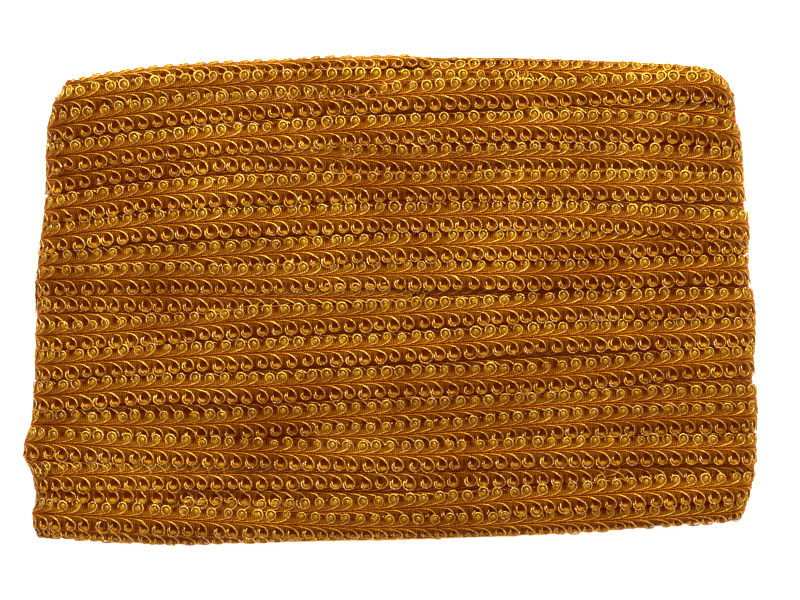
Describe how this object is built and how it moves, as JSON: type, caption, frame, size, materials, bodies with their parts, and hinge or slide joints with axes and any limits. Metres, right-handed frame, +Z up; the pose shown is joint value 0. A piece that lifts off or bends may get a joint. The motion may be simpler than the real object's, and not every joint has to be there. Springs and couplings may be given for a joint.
{
  "type": "gimp braid trim",
  "caption": "Long length of metallic gold looped gimp braid wound flat into a bundle with rounded folds, its turns lying side by side and partly over each other.",
  "frame": {"origin": "on the supporting surface, under the middle of the bundle's box", "axes": "+X along the turns towards the right fold, +Y across the turns towards the far edge, +Z up out of the upper face"},
  "size_m": [0.19, 0.1255, 0.0169],
  "materials": {
    "gold_braid": "looped gimp braid of metallic gold film yarn over a golden brown core, with a soft metal sheen"
  },
  "bodies": {
    "root": {"wound_braid": "gold_braid"}
  },
  "joints": []
}
